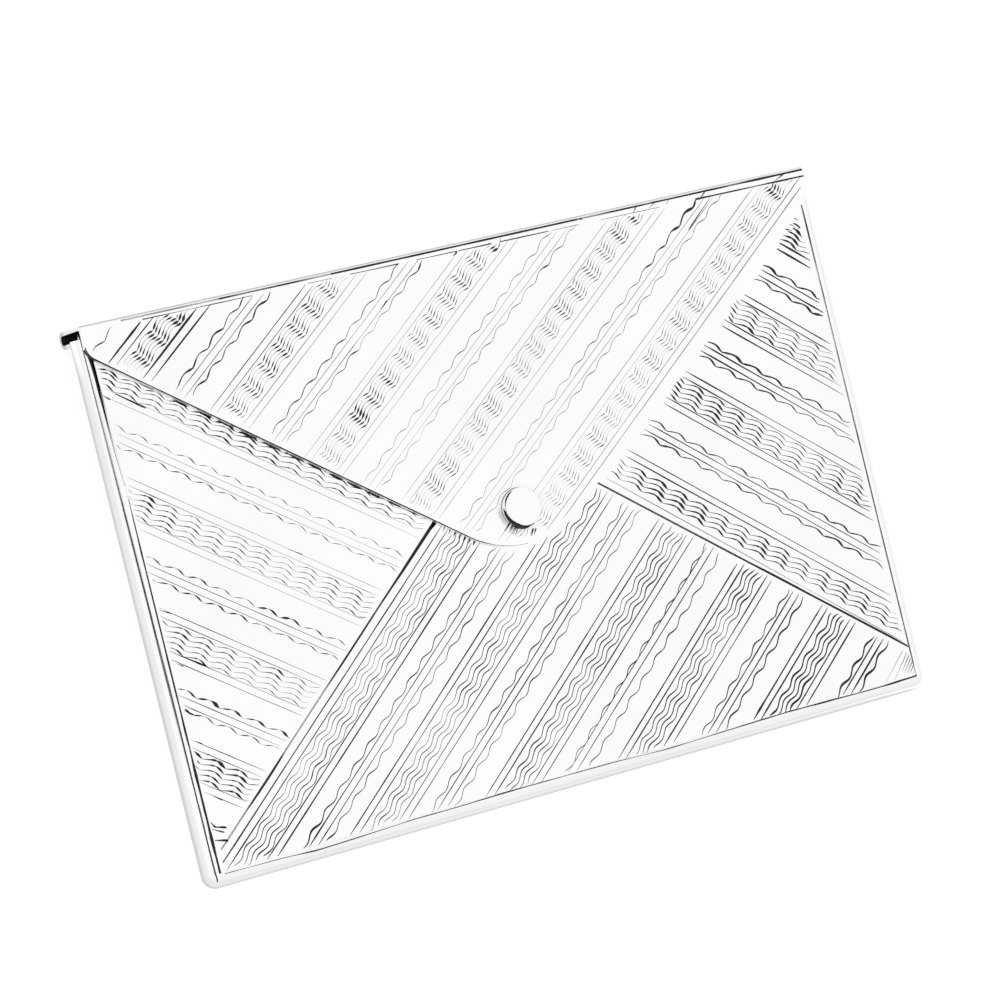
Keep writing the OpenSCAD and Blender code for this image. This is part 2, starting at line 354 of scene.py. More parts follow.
LEFT = Facet(
    name="engraving_left_and_painted_reflection", body="body", height=front, inside=in_left,
    angle=-35.4, step=0.61, light_waves=(0, 1.9), light_straights=(0.45, 1.25),
    trough=-12.2, rise=0.58, arch=0.5, reach=0.2, straight=0.05, wave=0.105,
    profile=(
        (0, 0.15), (0.12, 0.4), (0.3, 0.55), (0.48, 1), (0.56, 0.3),
        (0.66, 0.9), (0.76, 1.4), (0.88, 0.9), (1, 0.15),
    ),
    light_profile=(
        (0, 0.1), (0.1, 0.3), (0.2, 0.9), (0.35, 1.1), (0.45, 0.3), (0.55, 0.25),
        (0.65, 0.9), (0.8, 1.5), (0.9, 0.8), (1, 0.1),
    ),
    lean=(1.1, 0.95),
    cells=(
        Cell(7.75, 15.25, (1.2, 1.5, 1.05), 1.05, 5),
        Cell(19.8, 27.25, (1.2, 0.85, 1.12), 1.05, 5),
        Cell(31.75, 39.25, (0.9, 0.95, 0.8), 1.05, 5),
        Cell(43.75, None, (0.8, 1.1, 0), 1.05, 3),
        Cell(43.75, None, (0, 1.3, 0), 2.64, 1),
    ),
    accents=(
        (3, 25, 3, 0.7), (3.6, 11.6, 1.5, 0.6), (1.2, 13.2, 1.2, 0.5), (4.4, 17.7, 0.9, 1.8),
        (2.3, 18.9, 0.8, 1.4), (6.2, 16.5, 0.9, 1.5), (11.6, 12.6, 0.7, 1.5), (1.2, 17.9, 0.8, 1.2),
        (8.6, 14.8, 1, 1.4), (15, 25.2, 1.2, 1), (13, 26.8, 1, 0.8), (2.6, 41.4, 0.8, 1.4),
        (12.8, 19.6, 0.8, 1), (10.6, 21.4, 0.8, 0.8), (16, 46.4, 6, 0.5), (24, 23.2, 0.8, 1.2),
    ),
)
RIGHT = Facet(
    name="engraving_right", body="body", height=front, inside=in_right,
    angle=-39.2, step=0.59, light_waves=(0, 1.9), light_straights=(0.57, 1.37),
    trough=35.55, rise=0.6, arch=0.6, reach=0.21, straight=0.075, wave=0.125,
    profile=(
        (0, 0.35), (0.12, 0.4), (0.35, 0.7), (0.52, 0.95), (0.6, 0.55),
        (0.72, 1.3), (0.84, 1.5), (0.94, 0.9), (1, 0.35),
    ),
    lean=(1.3, 0.75),
    cells=(
        Cell(60.6, 67.95, (2, 1.3, 1.65), 1.35, 4, ((0.5, 0.5), (3.97, 0.8), (4.75, 0.8))),
        Cell(72.42, 79.7, (1.6, 1.1, 1.85), 1.15, 5),
        Cell(84.25, 91.4, (1.75, 1.15, 2.4), 1.2, 5, UPPER_HEAVY),
        Cell(96, None, (4, 1.6, 0), 1.28, 6, ((0, 1), (0.8, 1)), shift=1.2),
    ),
    accents=((88.6, 54.2, 1.3, 0.2), (90.5, 44, 1.5, 0.8), (86, 9.5, 5, 0.4), (59.5, 32.5, 2.5, -0.5)),
    wave_accents=((75.5, 42.5, 3.5, -0.5), (86.5, 17.5, 4.5, 0.6)),
)


def right_of(path, i):
    """Unit vector to the right of a path at its point i."""
    before = path[max(i - 1, 0)]
    after = path[min(i + 1, len(path) - 1)]
    return Vector((after[1] - before[1], before[0] - after[0])).normalized()


def mesh_object(name, points, faces, material):
    mesh = bpy.data.meshes.new(name)
    mesh.from_pydata(points, [], faces)
    mesh.materials.append(material)
    mesh.update()
    obj = bpy.data.objects.new(name, mesh)
    bpy.context.scene.collection.objects.link(obj)
    return obj


class Cuts:
    """Closed strips, collected for one mesh in front millimetres."""

    def __init__(self):
        self.points = []
        self.faces = []

    def sweep(self, rings):
        """Adds one closed strip through rings of points."""
        first = len(self.points)
        size = len(rings[0])
        for ring in rings:
            self.points.extend(ring)
        for i in range(len(rings) - 1):
            for j in range(size):
                a = first + size * i + j
                b = first + size * i + (j + 1) % size
                self.faces.append((a, a + size, b + size, b))
        last = first + size * (len(rings) - 1)
        self.faces.append(tuple(range(first, first + size)))
        self.faces.append(tuple(reversed(range(last, last + size))))

    def add(self, path, height):
        """Adds a strip with a V section along path, a list of (x, y, width), on a surface of that height."""
        rings = []
        for i, (x, y, width) in enumerate(path):
            side = right_of(path, i) * width / 2
            places = ((x + side.x, y + side.y), (x, y), (x - side.x, y - side.y))
            ring = [(place_x, place_y, height(place_x, place_y) + CUT_PROUD) for place_x, place_y in places]
            rings.append((*ring, (x, y, height(x, y) - CUT_DEPTH)))
        self.sweep(rings)

    def wall(self, path, proud, depth):
        """Adds one upright strip along path, a list of (x, y, low, high), facing to the right of it."""
        rings = []
        for i, (x, y, low, high) in enumerate(path):
            side = right_of(path, i)
            outer = (x + proud * side.x, y + proud * side.y)
            inner = (x - depth * side.x, y - depth * side.y)
            rings.append(((*outer, low), (*outer, high), (*inner, high), (*inner, low)))
        self.sweep(rings)

    def piece(self, name, body, material):
        """Makes the mesh object that rides on a body."""
        places = [((x + PANEL_LO.x) * MM, (y + PANEL_LO.y) * MM, z * MM) for x, y, z in self.points]
        obj = mesh_object(name, places, self.faces, material)
        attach(obj, body)
        return obj


def patch(x, y, accents):
    """How much heavier the cutting is at a place than on average."""
    weight = 1
    for gain, size, layer in PATCHES:
        weight += gain * noise.noise(Vector((x / size, y / size, layer)))
    for spot_x, spot_y, reach, gain in accents:
        weight += gain * math.exp(-((x - spot_x) ** 2 + (y - spot_y) ** 2) / reach ** 2)
    return max(weight, LEAST_SHARE)


def on_line(angle, offset, along):
    """Point of the line at that offset, in front millimetres."""
    turn = math.radians(angle)
    x = along * math.cos(turn) - offset * math.sin(turn)
    y = along * math.sin(turn) + offset * math.cos(turn)
    return x, y


def runs(facet, offset):
    """Stretches of the line at that offset that lie on the facet."""
    found = []
    start = None
    for i in range(RUN_FROM, RUN_TO):
        along = i * RUN_STEP
        if facet.inside(*on_line(facet.angle, offset, along)):
            start = along if start is None else start
        elif start is not None:
            found.append((start, along - RUN_STEP))
            start = None
    return found


def trimmed(run):
    """The run with its ends drawn back a little by hand."""
    return run[0] + rng.uniform(0, END_TRIM), run[1] - rng.uniform(0, END_TRIM)


def taper(along, start, end, lean):
    """Share of the full width along a cut, less at its very ends."""
    reach = min(along - start, end - along) / TAPER
    share = lean[0] + (lean[1] - lean[0]) * (along - start) / (end - start)
    return share * (END_SHARE + (1 - END_SHARE) * min(max(reach, 0.0), 1.0))


def straight_cut(facet, offset, run, slope, weight, _move):
    """Path of one straight line; it has no waves to move."""
    start, end = trimmed(run)
    start -= facet.overrun
    count = max(2, round((end - start) / LINE_STEP))
    drift = rng.uniform(0, DRIFTS)
    middle = (start + end) / 2
    path = []
    for along in spread(start, end, count):
        wander = drifting(WANDER, along, drift)
        x, y = on_line(facet.angle, offset + wander + slope * (along - middle), along)
        width = weight * facet.straight * patch(x, y, facet.accents) * taper(along, start, end, facet.lean)
        path.append((x, y, width))
    return path


def wave_height(part, rise, arch):
    """Height of the wriggled line, from -1 to 1, at a part of its pitch: round crests, sharper troughs."""
    climb = part / rise if part < rise else (1 - part) / (1 - rise)
    sharp = 2 * math.sin(math.pi / 2 * climb) - 1
    smooth = -math.cos(math.pi * climb)
    return arch * sharp + (1 - arch) * smooth


def wave_cut(facet, offset, run, slope, weight, move, profile=None):
    """Path of one wriggled line, with the facet's own profile if none is given."""
    profile = profile or facet.profile
    start, end = trimmed(run)
    count = max(2, round((end - start) / WAVE_STEP))
    middle = (start + end) / 2
    drift = rng.uniform(0, DRIFTS)
    shift = facet.trough + move + rng.uniform(-PHASE_SLIP, PHASE_SLIP)
    path = []
    for along in spread(start, end, count):
        period, part = divmod((along + drifting(SWAY, along, drift) - shift) / PITCH, 1)
        reach = facet.reach * (1 + drifting(SWING, along, drift))
        height = reach * wave_height(part, facet.rise, facet.arch)
        x, y = on_line(facet.angle, offset + height + slope * (along - middle), along)
        beat = 1 + BEAT_GAIN * noise.noise(Vector((BEAT_RATE * period, drift, BEAT_LAYER)))
        width = weight * facet.wave * between(profile, part) * beat
        width *= patch(x, y, facet.accents + facet.wave_accents) * taper(along, start, end, facet.lean)
        path.append((x, y, width))
    return path


def light_wave_cut(facet, offset, run, slope, weight, move):
    return wave_cut(facet, offset, run, slope, weight, move, facet.light_profile)


def cell_lines(facet, cell):
    """Offset, weight and kind of every line in one cell."""
    line_weight, wave_weight, light_weight = cell.weights
    if line_weight:
        for offset, share in cell.straights:
            yield cell.start + offset, line_weight * share, straight_cut
    if wave_weight:
        cut = wave_cut if cell.count > 1 else light_wave_cut
        for i in range(cell.count):
            yield cell.start + cell.first + i * facet.step, wave_weight, cut
    if cell.light is not None:
        for offset in facet.light_straights:
            yield cell.light + cell.light_lift + offset, light_weight, straight_cut
        for offset in facet.light_waves:
            yield cell.light + offset, light_weight, light_wave_cut


def facet_cuts(facet):
    """Paths of all lines on one facet."""
    for cell in facet.cells:
        slope = facet.fan * (cell.start + FAN_START) / FAN_STEP
        for offset, weight, cut in cell_lines(facet, cell):
            for run in runs(facet, offset):
                if run[1] - run[0] > SHORTEST_RUN:
                    yield cut(facet, offset, run, slope, weight * rng.uniform(*WEIGHT_SLIP), cell.shift)


def stroke(cuts, start, end, width, height, shape=STROKE_SHAPE):
    """One short freehand cut, thickest near its end."""
    path = []
    for share, part in shape:
        x = start[0] + share * (end[0] - start[0])
        y = start[1] + share * (end[1] - start[1])
        path.append((x, y, width * part))
    cuts.add(path, height)


def strokes(cuts, marks, height):
    """Freehand cuts, each given as start, end and width."""
    for start, end, width in marks:
        stroke(cuts, start, end, width, height)


# Lines along the flap's bend and its border: x of both ends, and width
FLAP_RIGHT = LID_HI.x - PANEL_LO.x - 0.08
BEND_LINES = ((4, 16, 0.06), (16, 30, 0.09), (30, 62, 0.12), (62, 72, 0.09), (72, FLAP_RIGHT, 0.13))
BEND_LINE_UP = 0.15
BEND_PAIR = (-0.04, 0.06)
BORDER_LINES = (
    (6.5, 20, 0.09), (27, 30, 0.09), (32.3, 38.5, 0.1), (40.8, 46, 0.1), (46.2, 50.5, 0.13),
    (51.7, 58, 0.12), (58.5, 62, 0.06), (65, 73, 0.06), (77.8, FLAP_RIGHT, 0.18),
)
BORDER_LINE_DOWN = 0.05
BORDER_DRIFT = 50

# Freehand cuts on the flap: over its border, and below the button
FLAP_SLIPS = (
    ((78.2, 60.2), (79.3, 61.05), 0.14), ((88.8, 60.5), (90.3, 61.1), 0.16),
    ((69.3, 60.4), (69.9, 61.1), 0.14), ((71.5, 60.6), (72.3, 61), 0.08), ((73.8, 60.5), (74.3, 61), 0.08),
    ((51.5, 60.2), (51.8, 60.9), 0.08), ((79.8, 60.25), (75.9, 57.1), 0.16), ((45.4, 60.1), (46, 60.5), 0.2),
    ((62.2, 61.1), (62.6, 61.05), 0.25), ((35, 56.1), (36, 56.9), 0.12),
)
TIP_SLIPS = (((46.55, 27.3), (47.05, 28.1), 0.24), ((46.95, 27.35), (47.4, 28.05), 0.17))

# Hatching beside the button: x, y, slant and length of the first cut, and their change to the last
HATCH = ((43.3, 1.35), (28.6, -0.8), (41, 11), (1.15, -0.15))
HATCH_COUNT = 7
HATCH_SLIP = 0.1
HATCH_WIDTH = 0.11


def border_line(cuts, y_of, x0, x1, width):
    """A cut along the flap's bend."""
    count = round(2 * (x1 - x0) / LINE_STEP)
    path = []
    for x in spread(x0, x1, count):
        weight = max(LEAST_SHARE, 1 + drifting(BORDER_CHANGE, x, width * BORDER_DRIFT))
        path.append((x, y_of(x), width * weight))
    cuts.add(path, flap)


def flap_marks(cuts):
    """Border along the bend, cuts that overrun it, and the short cuts beside the button."""
    for x0, x1, width in BEND_LINES:
        for up in BEND_PAIR:
            border_line(cuts, lambda _x: BEND_Y + BEND_LINE_UP + up, x0, x1, width)
    for x0, x1, width in BORDER_LINES:
        border_line(cuts, lambda x: border(x) - BORDER_LINE_DOWN, x0, x1, width)
    strokes(cuts, FLAP_SLIPS, flap)
    for i in range(HATCH_COUNT):
        share = i / (HATCH_COUNT - 1)
        x, y, slant, length = (first + change * share for first, change in HATCH)
        x += rng.uniform(-HATCH_SLIP, HATCH_SLIP)
        y += rng.uniform(-HATCH_SLIP, HATCH_SLIP)
        turn = math.radians(slant)
        stroke(cuts, (x, y), (x + length * math.cos(turn), y + length * math.sin(turn)), HATCH_WIDTH, flap)
    strokes(cuts, TIP_SLIPS, flap)


# Lower right corner: two lines, and hatching with the ends of its first cut and their steps
CORNER_LINES = (((87.7, 0.4), (91, 3.5), 0.06), ((88.9, 0.35), (91.45, 3.1), 0.08))
CORNER_HATCH_COUNT = 4
CORNER_HATCH = ((90.2, 0.3), (1.1, -0.18), (91.65, 0.07), (2.75, -0.45))
CORNER_HATCH_WIDTH = 0.1

# Dark marks where the bottom's lines meet the flap: x, width and run, and how far the flap covers the marks
MEETING_MARKS = (
    (36.5, 0.12), (37.1, 0.135), (37.65, 0.195), (38.2, 0.225), (38.75, 0.195), (39.25, 0.21), (39.75, 0.255),
)
MEETING_RUN = (0.36, 0.42)
FLAP_COVER = 0.06
FOLD_END_MARK = ((34.7, 30.75), (35.6, 31.55), 0.44)


def bottom_marks(cuts):
    """Lines and hatching in the lower right corner, and dark marks where the lines and the fold meet the flap."""
    strokes(cuts, CORNER_LINES, front)
    for x, width in MEETING_MARKS:
        y = flap_edge(x) + FLAP_COVER
        stroke(cuts, (x - MEETING_RUN[0], y - MEETING_RUN[1]), (x, y), width, front)
    stroke(cuts, *FOLD_END_MARK, front)
    for i in range(CORNER_HATCH_COUNT):
        x0, y0, x1, y1 = (first + change * i for first, change in CORNER_HATCH)
        stroke(cuts, (x0, y0), (x1, y1), CORNER_HATCH_WIDTH, front)


# Freehand cuts on the left and right sides
LEFT_SLIPS = (
    ((0.35, 5.8), (0.9, 5), 0.2), ((0.6, 5.2), (2.1, 4.75), 0.26), ((0.35, 5), (1.7, 4.3), 0.18),
    ((0.35, 3.75), (1.9, 3.35), 0.26), ((1.5, 53.5), (4.7, 51.2), 0.22), ((0.1, 53.6), (0.8, 53), 0.18),
    ((1.9, 23.95), (4.3, 22.3), 0.24), ((0.5, 29.5), (1.8, 28.8), 0.12), ((17.2, 32.5), (18.7, 31.55), 0.1),
    ((1, 23.4), (1.7, 22.9), 0.12), ((0.5, 18.3), (1.5, 17.5), 0.2), ((1, 14.7), (1.7, 14.2), 0.12),
    ((1.5, 8.4), (2.4, 7.7), 0.12), ((1.8, 13), (2.2, 12.9), 0.15),
)
RIGHT_SLIPS = (
    ((89.8, 54.4), (89, 54.75), 0.16), ((90.4, 54.7), (89.75, 55.2), 0.1),
    ((91.05, 55.35), (90.5, 55.8), 0.12),
)

# Painted reflections of the waves in the flap's left edge, as blots on the front along it: x and width, start and
# length
FLAP_PAINTED_REFLECTIONS = (
    (5.3, 0.16), (8.8, 0.29), (11.3, 0.27), (13.4, 0.22), (15.7, 0.33), (18.1, 0.28), (20.8, 0.25),
    (22.7, 0.29), (25, 0.34), (26.9, 0.33), (28.9, 0.29), (31.1, 0.22), (33, 0.16),
)
BLOT_START = -0.8
BLOT_LENGTH = 1.6


def left_marks(cuts):
    """Short cuts at the lower left corner, slips of the graver beside the seam, and blots along the flap that
    paint the waves' reflection in its edge.
    """
    strokes(cuts, LEFT_SLIPS, front)
    # Each blot is a painted reflection of the waves in the flap's edge
    for blot_x, width in FLAP_PAINTED_REFLECTIONS:
        shift = 0.5 * width - FLAP_COVER
        ends = []
        for x in (blot_x + BLOT_START, blot_x + BLOT_START + BLOT_LENGTH):
            ends.append((x - shift * math.sin(FLAP_ANGLE), flap_edge(x) - shift * math.cos(FLAP_ANGLE)))
        stroke(cuts, *ends, width, front, BLOT_SHAPE)


def right_marks(cuts):
    """Short cuts in the upper right corner."""
    strokes(cuts, RIGHT_SLIPS, front)


def make_engraving(material):
    sides = ((FLAP, flap_marks), (BOTTOM, bottom_marks), (LEFT, left_marks), (RIGHT, right_marks))
    for facet, marks in sides:
        cuts = Cuts()
        for path in facet_cuts(facet):
            cuts.add(path, facet.height)
        marks(cuts)
        cuts.piece(facet.name, facet.body, material)


def uneven(where, seed, share=1.0):
    """Factor for a dark line of tarnish, dirt and painted shade, of which that share is thicker in places."""
    return 1 - share + share * max(LEAST_SHARE, 1 + drifting(DIRT_AND_SHADE_CHANGE, where, seed))


# Tarnish and painted dark reflection in the folds: x and width, and how uneven it is
LEFT_FOLD_FILL = (
    (0.9, 0.06), (5, 0.08), (7, 0.26), (9.5, 0.26), (11, 0.07), (17, 0.06),
    (20, 0.17), (24, 0.17), (26, 0.12), (28.5, 0.18), (30.5, 0.36), (36, 0.42),
)
RIGHT_FOLD_FILL = (
    (54, 0.12), (74, 0.15), (76, 0.26), (79, 0.26), (81, 0.18), (84, 0.25), (90, 0.25), (92, 0.12),
)
FOLD_SEED = 5
FOLD_UNEVEN = 0.2


def make_fold_lines(material):
    """Tarnish in the two cut fold lines, against the side that looks dark, where it also paints that side's dark
    reflection.
    """
    folds = (
        (fold_left, LEFT_FOLD_FILL, (0.9, 38), FOLD_LEFT_SLOPE, 1),
        (fold_right, RIGHT_FOLD_FILL, (54, PANEL_W - 0.15), -FOLD_RIGHT_SLOPE, -1),
    )
    cuts = Cuts()
    for fold, fill, ends, slope, side in folds:
        across = Vector((-slope, 1)).normalized()
        path = []
        for x in spread(*ends, round(ends[1] - ends[0])):
            width = between(fill, x) * uneven(x, FOLD_SEED, FOLD_UNEVEN)
            # The shift puts the tarnish on the wall that mirrors dark, painting its dark reflection
            shift = side * max(FOLD_WIDTH - width, 0) / 2
            path.append((x + shift * across.x, fold(x) + shift * across.y, width))
        cuts.add(path, front)
    cuts.piece("fold_tarnish_and_painted_reflection", "body", material)


# Tarnish in the seam round the front panel, widened into painted shadow below the flap's corner: distance along
# it, and width or place across it
SEAM_IN = 0.05
LEFT_SEAM_FILL = ((0, 0.26), (11, 0.28), (14, 0.18), (26, 0.15), (36, 0.12), (42, 0.03))
# The open seam below the flap's left corner, with the flap's painted shadow in it
OPEN_SEAM_AND_SHADOW_FILL = (
    (43.5, 0.03), (48, 0.05), (49.4, 0.06), (52, 0.09), (54, 0.12), (57, 0.2), (58.2, 0.24), (59.4, 0.1),
)
OPEN_SEAM_AND_SHADOW_X = (
    (43.5, 0), (46, -0.08), (48, -0.2), (49.5, -0.25), (52, -0.26), (54, -0.28), (57, -0.33),
    (58.2, -0.45), (59.4, -0.7),
)
BOTTOM_SEAM_FILL = (
    (0, 0.05), (8, 0.08), (12, 0.13), (18, 0.12), (22, 0.06), (34, 0.08), (36, 0.12), (40, 0.06), (55, 0.06),
    (58, 0.13), (60, 0.07), (72, 0.1), (75, 0.16), (80, 0.16), (83, 0.1), (87, 0.1), (89, 0.18), (92, 0.18),
)
BOTTOM_SEAM_Y = (
    (0, -0.05), (8, -0.15), (12, -0.35), (16, -0.25), (24, 0), (30, 0), (36, 0.1), (50, 0.05),
    (57, -0.15), (66, 0), (74, 0.18), (79, 0.1), (84, 0), (88, 0), (92, 0.15),
)
RIGHT_SEAM_FILL = ((1, 0.12), (3, 0.1), (20, 0.06), (26, 0.1), (40, 0.07), (52, 0.12), (54, 0.16), (58, 0.08))

# Second dark line on the band at the lower left corner: x, y and width
CORNER_SEAM = (
    (-0.38, -0.75, 0.08), (-0.4, -0.6, 0.15), (-0.41, -0.45, 0.16), (-0.42, -0.3, 0.15), (-0.43, -0.15, 0.14),
    (-0.44, 0, 0.13), (-0.45, 0.2, 0.12), (-0.45, 2.2, 0.09), (-0.46, 3.8, 0.08), (-0.43, 4.9, 0.06),
    (-0.4, 6.2, 0.05), (-0.4, 8, 0.03),
)


def seam_path(place, fill, ends, seed):
    places = spread(*ends, round(ends[1] - ends[0]))
    return [(*place(along), between(fill, along) * uneven(along, seed)) for along in places]


def make_seam_lines(material):
    """Tarnish in the seam round the front panel, heaviest low on the left, and widened into the flap's painted
    shadow below its left corner.
    """
    seams = (
        (lambda s: (SEAM_IN, s), LEFT_SEAM_FILL, (0.1, 42), 0),
        (lambda s: (between(OPEN_SEAM_AND_SHADOW_X, s), s), OPEN_SEAM_AND_SHADOW_FILL, (43.5, 59.4), 0),
        (lambda s: (s, between(BOTTOM_SEAM_Y, s)), BOTTOM_SEAM_FILL, (0.6, PANEL_W - 0.1), 1),
        (lambda s: (PANEL_W - SEAM_IN, s), RIGHT_SEAM_FILL, (1.5, PANEL_H - 3), 2),
    )
    cuts = Cuts()
    cuts.add(CORNER_SEAM, front)
    for place, fill, ends, seed in seams:
        cuts.add(seam_path(place, fill, ends, seed), front)
    cuts.piece("seam_tarnish_and_painted_shadow", "body", material)


# Rim of the flap: steps round its corner, then so many points for each millimetre up to the tip
CORNER_STEPS = 8
RIM_CLEAR = 0.2
RIM_END = 46
RIM_PER_MM = 2

# Dirt and painted shadow along the rim: x and width, how far in, and how uneven; and painted shade on the corner's
# wall
RIM_FILL = (
    (-1, 0.06), (-0.7, 0.16), (0, 0.2), (1.5, 0.17), (5, 0.13), (8, 0.15), (24, 0.16), (35, 0.15),
    (40, 0.12), (42, 0.05), (46, 0.03),
)
RIM_INSET = 0.08
RIM_SEED = 8
RIM_UNEVEN = 0.4
WALL_BELOW_TOP = 0.01
WALL_PROUD = 0.006
WALL_DEPTH = 0.02

# Burr under the flap's rim
LIP_GAP = 0.015
LIP_PROUD = 0.002
LIP_DEPTH = 0.1


def flap_rim(inset):
    """Points along the flap's left rim, from the round corner to the tip, drawn in by inset."""
    turn = math.pi / 2 - FLAP_ANGLE
    corner_x = SIDE_X + CORNER_R
    corner_y = SIDE_Y + CORNER_R * math.tan(turn / 2)
    reach = CORNER_R - inset
    points = []
    for i in range(CORNER_STEPS + 1):
        angle = math.pi + turn * i / CORNER_STEPS
        points.append((corner_x + reach * math.cos(angle), corner_y + reach * math.sin(angle)))
    start = math.ceil(points[-1][0] + RIM_CLEAR)
    for i in range(RIM_PER_MM * (RIM_END - start) + 1):
        x = start + i / RIM_PER_MM
        points.append((x, flap_edge(x) + inset / math.cos(FLAP_ANGLE)))
    return points


def make_flap_rim_shade(material):
    """Dirt and painted shadow along the flap's left rim, and painted shade on the wall of its round corner."""
    path = []
    for x, y in flap_rim(RIM_INSET):
        path.append((x, y, between(RIM_FILL, x) * uneven(2 * x, RIM_SEED, RIM_UNEVEN)))
    low = FRONT_Z + LIP_GAP
    high = FLAP_Z - WALL_BELOW_TOP
    corner = flap_rim(0.0)[1:CORNER_STEPS + 1]
    cuts = Cuts()
    # Dirt with painted shadow along the rim, and painted shade on the corner's wall
    cuts.add(path, flap)
    cuts.wall([(x, y, low, high) for x, y in corner], WALL_PROUD, WALL_DEPTH)
    cuts.piece("flap_rim_dirt_and_painted_shadow", "lid", material)


def make_flap_lip(material):
    """Burr of the sawn edge, which closes most of the play between the flap and the front."""
    left = flap_rim(0.0)
    right = [(PANEL_W - x, y) for x, y in reversed(left[:-1])]
    low = FRONT_Z + LIP_GAP
    high = FLAP_Z - LID_T / 2
    cuts = Cuts()
    cuts.wall([(x, y, low, high) for x, y in left + right], LIP_PROUD, LIP_DEPTH)
    cuts.piece("flap_lip", "lid", material)


# Dirt and painted contact shadow round the button's foot: turn in degrees and width
FOOT_FILL = (
    (60, 0.05), (150, 0.05), (180, 0.04), (230, 0.05), (255, 0.1), (270, 0.15), (288, 0.14), (292, 0.04),
)
FOOT_OUT = 0.45
TURN_STEP = 4

# Painted dark reflections on the button's wall and rim: turn in degrees and distance up its wall, of the lower and
# the upper edge
PAINTED_REFLECTION_LOW = (
    (170, 0.42), (178, 0.36), (205, 0.36), (225, 0.38), (240, 0.3), (255, 0.2), (270, 0.04), (294, 0.04),
)
PAINTED_REFLECTION_HIGH = (
    (170, 0.5), (178, 0.76), (192, 0.9), (204, 0.98), (225, 1.08), (240, 1.1), (255, 1), (275, 0.92),
    (294, 0.84),
)
RIM_PAINTED_REFLECTION_LOW = ((112, 0.78), (125, 0.64), (142, 0.62), (155, 0.76), (168, 0.82), (204, 0.83))
RIM_PAINTED_REFLECTION_HIGH = ((112, 0.82), (125, 0.88), (142, 0.88), (155, 0.87), (168, 0.87), (204, 0.88))
PAINTED_REFLECTION_STEPS = 18
PAINTED_REFLECTION_DEPTH = 0.03


def turns(fill):
    """Degrees from the first to the last place of a table."""
    first = fill[0][0]
    last = fill[-1][0]
    return spread(first, last, round((last - first) / TURN_STEP))


def button_skin(along, proud):
    """Radius and height of a place on the button, so far up its wall, over its rim and onto its top."""
    wall = BUTTON_HI.z - FLAP_Z - BUTTON_ROUND
    if along < wall:
        return BUTTON_R + proud, FLAP_Z + along
    turn = (along - wall) / BUTTON_ROUND
    if turn < math.pi / 2:
        reach = BUTTON_ROUND + proud
        across = BUTTON_R - BUTTON_ROUND + reach * math.cos(turn)
        return across, BUTTON_HI.z - BUTTON_ROUND + reach * math.sin(turn)
    return BUTTON_R - (along - wall) + BUTTON_ROUND * (math.pi / 2 - 1), BUTTON_HI.z + proud


def button_painted_reflection(cuts, lows, highs):
    """A painted dark reflection round the button between two distances up its wall."""
    rings = []
    for degrees in turns(lows):
        turn = math.radians(degrees)
        low = between(lows, degrees)
        high = between(highs, degrees)
        skin = [button_skin(up, CUT_PROUD) for up in spread(low, high, PAINTED_REFLECTION_STEPS)]
        skin += [button_skin(high, -PAINTED_REFLECTION_DEPTH), button_skin(low, -PAINTED_REFLECTION_DEPTH)]
        rings.append([
            (BUTTON_X + reach * math.cos(turn), BUTTON_Y + reach * math.sin(turn), z)
            for reach, z in skin
        ])
    cuts.sweep(rings)


def make_button_painted_shade(material):
    """Dirt and painted contact shadow round the foot of the button, and painted dark reflections over its wall and
    rim, largest below it on the left.
    """
    path = []
    for degrees in turns(FOOT_FILL):
        width = between(FOOT_FILL, degrees)
        reach = BUTTON_R + FOOT_OUT * width
        turn = math.radians(degrees)
        path.append((BUTTON_X + reach * math.cos(turn), BUTTON_Y + reach * math.sin(turn), width))
    cuts = Cuts()
    cuts.add(path, flap)
    # Painted dark reflections on the button's wall and over its rim
    button_painted_reflection(cuts, PAINTED_REFLECTION_LOW, PAINTED_REFLECTION_HIGH)
    button_painted_reflection(cuts, RIM_PAINTED_REFLECTION_LOW, RIM_PAINTED_REFLECTION_HIGH)
    cuts.piece("button_dirt_and_painted_shade", "lid", material)


# Sockets of a Mix node that share their names with others: its two colours, and the mixed colour
MIX_ONE = 6
MIX_OTHER = 7
MIX_RESULT = 2


